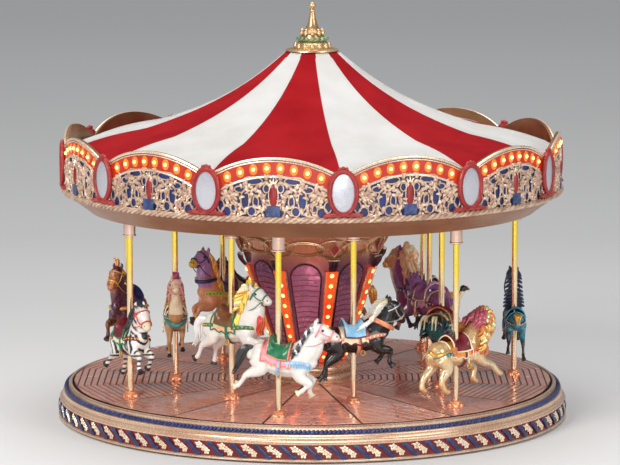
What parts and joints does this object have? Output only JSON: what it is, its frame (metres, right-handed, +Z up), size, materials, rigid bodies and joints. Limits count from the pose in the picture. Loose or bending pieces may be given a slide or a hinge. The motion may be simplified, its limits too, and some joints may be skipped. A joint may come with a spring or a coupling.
{
  "type": "wind-up carousel toy",
  "caption": "Tabletop clockwork carousel: animal riders rise and fall on poles round a column under a striped tent roof with a lit cornice.",
  "frame": {"origin": "on the table, under the centre of the round base", "axes": "+Z up along the spindle; -Y is the front; +X to the right of the front"},
  "size_m": [0.3799, 0.38, 0.3078],
  "materials": {
    "base_enamel": "gloss relief, aged gold and red",
    "cover_steel": "satin",
    "foot_rubber": "matte",
    "zinc_steel": "satin",
    "movement_brass": "satin",
    "spring_steel": "blued",
    "cam_plastic": "matte",
    "deck_copper": "satin parquet relief",
    "copper_gilt": "metallic copper-gold",
    "gold_gilt": "metallic gold",
    "pole_gold": "polished",
    "column_purple": "pearl with copper relief",
    "lamp_amber": "translucent, lit",
    "ceiling_brown": "satin",
    "battery_black": "matte",
    "cornice_navy": "gloss with gold relief",
    "frame_red": "gloss",
    "mirror_glass": "polished",
    "roof_fabric": "red and white woven gores",
    "animal_white": "hand-painted gloss",
    "animal_gold": "hand-painted gloss",
    "animal_dark": "hand-painted gloss",
    "animal_copper": "hand-painted gloss",
    "animal_violet": "hand-painted gloss",
    "animal_tan": "hand-painted gloss"
  },
  "bodies": {
    "base": {"base_shell": "base_enamel", "bottom_cover": "cover_steel", "rubber_feet": "foot_rubber", "bottom_screws": "zinc_steel", "movement_frame": "movement_brass", "spindle": "zinc_steel", "music_comb": "zinc_steel"},
    "turntable": {"deck": "deck_copper", "deck_ring_gear": "cam_plastic", "pole_feet": "copper_gilt", "column_shell": "column_purple", "column_lamp_strips": "lamp_amber", "ceiling_plate": "ceiling_brown", "pole_sleeves": "copper_gilt", "battery_holder": "battery_black", "cornice_shell": "cornice_navy", "cornice_bulbs": "lamp_amber", "mirror_frames": "frame_red", "mirrors": "mirror_glass", "roof_canopy": "roof_fabric", "finial": "gold_gilt"},
    "winder": {"winding_key": "zinc_steel", "winding_arbor": "zinc_steel"},
    "click": {"click": "zinc_steel"},
    "barrel": {"spring_barrel": "movement_brass", "mainspring": "spring_steel"},
    "idler": {"idler_gear": "movement_brass"},
    "governor": {"governor": "zinc_steel"},
    "music": {"music_cylinder": "movement_brass"},
    "cam": {"cam_ring": "cam_plastic"},
    "battery_door": {"battery_door": "ceiling_brown"},
    "lamp_switch": {"lamp_switch": "battery_black"},
    "white_horse_rider": {"pole_01": "pole_gold", "white_horse": "animal_white"},
    "lion_rider": {"pole_02": "pole_gold", "lion": "animal_gold"},
    "goat_rider": {"pole_03": "pole_gold", "goat": "animal_dark"},
    "copper_horse_rider": {"pole_04": "pole_gold", "copper_horse": "animal_copper"},
    "bay_horse_rider": {"pole_05": "pole_gold", "bay_horse": "animal_copper"},
    "plum_horse_rider": {"pole_06": "pole_gold", "plum_horse": "animal_dark"},
    "zebra_rider": {"pole_07": "pole_gold", "zebra": "animal_white"},
    "black_horse_rider": {"pole_08": "pole_gold", "black_horse": "animal_dark"},
    "ostrich_rider": {"pole_09": "pole_gold", "ostrich": "animal_dark"},
    "grey_horse_rider": {"pole_10": "pole_gold", "grey_horse": "animal_violet"},
    "cream_horse_rider": {"pole_11": "pole_gold", "cream_horse": "animal_white"},
    "lilac_horse_rider": {"pole_12": "pole_gold", "lilac_horse": "animal_violet"},
    "llama_rider": {"pole_13": "pole_gold", "llama": "animal_tan"},
    "plumed_horse_rider": {"pole_14": "pole_gold", "plumed_horse": "animal_white"}
  },
  "joints": [
    {"name": "turntable_spin", "type": "hinge", "parent": "base", "child": "turntable", "pos_m": [0, 0, 0.03], "axis": [0, 0, 1], "continuous": true},
    {"name": "key_wind", "type": "hinge", "parent": "base", "child": "winder", "pos_m": [0, 0.03125, 0.014], "axis": [0, 0, 1], "continuous": true},
    {"name": "click_swing", "type": "hinge", "parent": "base", "child": "click", "pos_m": [0.012, 0.03125, 0.014], "axis": [0, 0, -1], "range_deg": [0, 14], "stiffness_Nm_per_rad": 0.002},
    {"name": "barrel_spin", "type": "hinge", "parent": "base", "child": "barrel", "pos_m": [0, 0.03125, 0.014], "axis": [0, 0, 1], "continuous": true},
    {"name": "idler_spin", "type": "hinge", "parent": "base", "child": "idler", "pos_m": [0.02828, -0.02828, 0.014], "axis": [0, 0, 1], "continuous": true},
    {"name": "governor_spin", "type": "hinge", "parent": "base", "child": "governor", "pos_m": [0.00479, -0.03683, 0.014], "axis": [0, 0, 1], "continuous": true},
    {"name": "music_spin", "type": "hinge", "parent": "base", "child": "music", "pos_m": [-0.03567, -0.01159, 0.014], "axis": [0, 0, 1], "continuous": true},
    {"name": "cam_phase", "type": "hinge", "parent": "turntable", "child": "cam", "pos_m": [0, 0, 0.005], "axis": [0, 0, 1], "range_deg": [0, 25.7]},
    {"name": "battery_door_swing", "type": "hinge", "parent": "turntable", "child": "battery_door", "pos_m": [-0.02013, 0.06704, 0.1575], "axis": [-0.9578, -0.2876, 0], "range_deg": [0, 85]},
    {"name": "lamp_switch_slide", "type": "slide", "parent": "turntable", "child": "lamp_switch", "axis": [-0.9578, -0.2876, 0], "range_m": [0, 0.003]},
    {"name": "white_horse_rise", "type": "slide", "parent": "turntable", "child": "white_horse_rider", "axis": [0, 0, 1], "range_m": [0, 0.008]},
    {"name": "lion_rise", "type": "slide", "parent": "turntable", "child": "lion_rider", "axis": [0, 0, 1], "range_m": [0, 0.008]},
    {"name": "goat_rise", "type": "slide", "parent": "turntable", "child": "goat_rider", "axis": [0, 0, 1], "range_m": [0, 0.008]},
    {"name": "copper_horse_rise", "type": "slide", "parent": "turntable", "child": "copper_horse_rider", "axis": [0, 0, 1], "range_m": [0, 0.008]},
    {"name": "bay_horse_rise", "type": "slide", "parent": "turntable", "child": "bay_horse_rider", "axis": [0, 0, 1], "range_m": [0, 0.008]},
    {"name": "plum_horse_rise", "type": "slide", "parent": "turntable", "child": "plum_horse_rider", "axis": [0, 0, 1], "range_m": [0, 0.008]},
    {"name": "zebra_rise", "type": "slide", "parent": "turntable", "child": "zebra_rider", "axis": [0, 0, 1], "range_m": [0, 0.008]},
    {"name": "black_horse_rise", "type": "slide", "parent": "turntable", "child": "black_horse_rider", "axis": [0, 0, 1], "range_m": [-0.008, 0]},
    {"name": "ostrich_rise", "type": "slide", "parent": "turntable", "child": "ostrich_rider", "axis": [0, 0, 1], "range_m": [-0.008, 0]},
    {"name": "grey_horse_rise", "type": "slide", "parent": "turntable", "child": "grey_horse_rider", "axis": [0, 0, 1], "range_m": [-0.008, 0]},
    {"name": "cream_horse_rise", "type": "slide", "parent": "turntable", "child": "cream_horse_rider", "axis": [0, 0, 1], "range_m": [-0.008, 0]},
    {"name": "lilac_horse_rise", "type": "slide", "parent": "turntable", "child": "lilac_horse_rider", "axis": [0, 0, 1], "range_m": [-0.008, 0]},
    {"name": "llama_rise", "type": "slide", "parent": "turntable", "child": "llama_rider", "axis": [0, 0, 1], "range_m": [-0.008, 0]},
    {"name": "plumed_horse_rise", "type": "slide", "parent": "turntable", "child": "plumed_horse_rider", "axis": [0, 0, 1], "range_m": [-0.008, 0]}
  ],
  "couplings": [
    {"joint": "barrel_spin", "follows": "turntable_spin", "ratio": 2.6667},
    {"joint": "idler_spin", "follows": "turntable_spin", "ratio": 5},
    {"joint": "governor_spin", "follows": "turntable_spin", "ratio": -20},
    {"joint": "music_spin", "follows": "turntable_spin", "ratio": 4},
    {"joint": "white_horse_rise", "follows": "cam_phase", "m_per_rad": 0.0178},
    {"joint": "lion_rise", "follows": "cam_phase", "m_per_rad": 0.0178},
    {"joint": "goat_rise", "follows": "cam_phase", "m_per_rad": 0.0178},
    {"joint": "copper_horse_rise", "follows": "cam_phase", "m_per_rad": 0.0178},
    {"joint": "bay_horse_rise", "follows": "cam_phase", "m_per_rad": 0.0178},
    {"joint": "plum_horse_rise", "follows": "cam_phase", "m_per_rad": 0.0178},
    {"joint": "zebra_rise", "follows": "cam_phase", "m_per_rad": 0.0178},
    {"joint": "black_horse_rise", "follows": "cam_phase", "m_per_rad": -0.0178},
    {"joint": "ostrich_rise", "follows": "cam_phase", "m_per_rad": -0.0178},
    {"joint": "grey_horse_rise", "follows": "cam_phase", "m_per_rad": -0.0178},
    {"joint": "cream_horse_rise", "follows": "cam_phase", "m_per_rad": -0.0178},
    {"joint": "lilac_horse_rise", "follows": "cam_phase", "m_per_rad": -0.0178},
    {"joint": "llama_rise", "follows": "cam_phase", "m_per_rad": -0.0178},
    {"joint": "plumed_horse_rise", "follows": "cam_phase", "m_per_rad": -0.0178}
  ]
}
